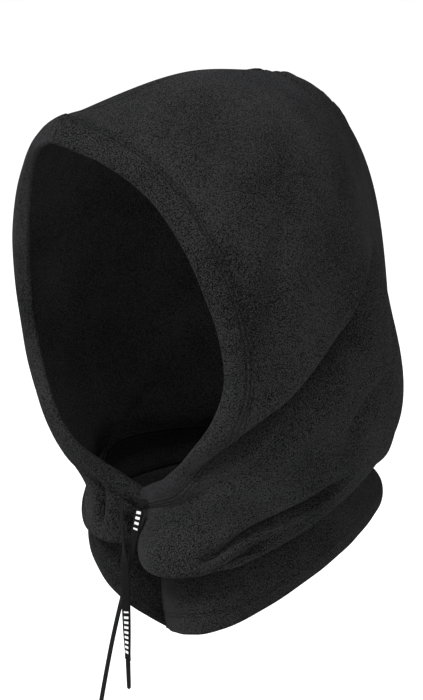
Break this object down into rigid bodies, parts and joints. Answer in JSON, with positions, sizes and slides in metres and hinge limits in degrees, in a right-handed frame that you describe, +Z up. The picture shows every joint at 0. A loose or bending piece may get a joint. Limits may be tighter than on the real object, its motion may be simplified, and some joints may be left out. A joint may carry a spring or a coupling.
{
  "type": "balaclava",
  "caption": "Fleece hood balaclava with a drawcord casing round the face opening, hanging cord ends with hard tips, and a flared neck collar.",
  "frame": {"origin": "top of the wearer's head, where the inside of the crown rests on it", "axes": "+Z up; the wearer faces -Y, so the face opening is on the -Y side; the wearer's left is +X"},
  "size_m": [0.2496, 0.3313, 0.4537],
  "materials": {
    "fleece": "matt black brushed fleece",
    "casing_knit": "matt black knit binding",
    "tape": "plain black woven tape",
    "cord": "flat black woven cord with a plain pale dash pattern",
    "aglet": "black heat-shrunk plastic tip",
    "thread": "black polyester sewing thread"
  },
  "bodies": {
    "hood": {"left_hood_panel": "fleece", "right_hood_panel": "fleece", "left_face_casing": "casing_knit", "right_face_casing": "casing_knit", "casing_drawcord": "cord", "crown_seam": "fleece", "chin_seam": "fleece", "left_buttonhole": "thread", "right_buttonhole": "thread"},
    "collar": {"left_collar_panel": "fleece", "right_collar_panel": "fleece", "left_hem_turnup": "fleece", "right_hem_turnup": "fleece", "left_neck_tape": "tape", "right_neck_tape": "tape", "collar_front_seam": "fleece", "collar_back_seam": "fleece"},
    "left_cord": {"left_drawcord_end": "cord", "left_aglet": "aglet"},
    "right_cord": {"right_drawcord_end": "cord", "right_aglet": "aglet"}
  },
  "joints": [
    {"name": "collar_tilt", "type": "hinge", "parent": "hood", "child": "collar", "pos_m": [0, 0.138, -0.303], "axis": [1, 0, 0], "range_deg": [0, 8]},
    {"name": "left_cord_swing", "type": "hinge", "parent": "hood", "child": "left_cord", "pos_m": [0, -0.0745, -0.2845], "axis": [-1, 0, 0], "range_deg": [0, 55]},
    {"name": "right_cord_swing", "type": "hinge", "parent": "hood", "child": "right_cord", "pos_m": [0, -0.0745, -0.2845], "axis": [-1, 0, 0], "range_deg": [0, 55]}
  ],
  "couplings": [
    {"joint": "right_cord_swing", "follows": "left_cord_swing", "ratio": 1}
  ]
}
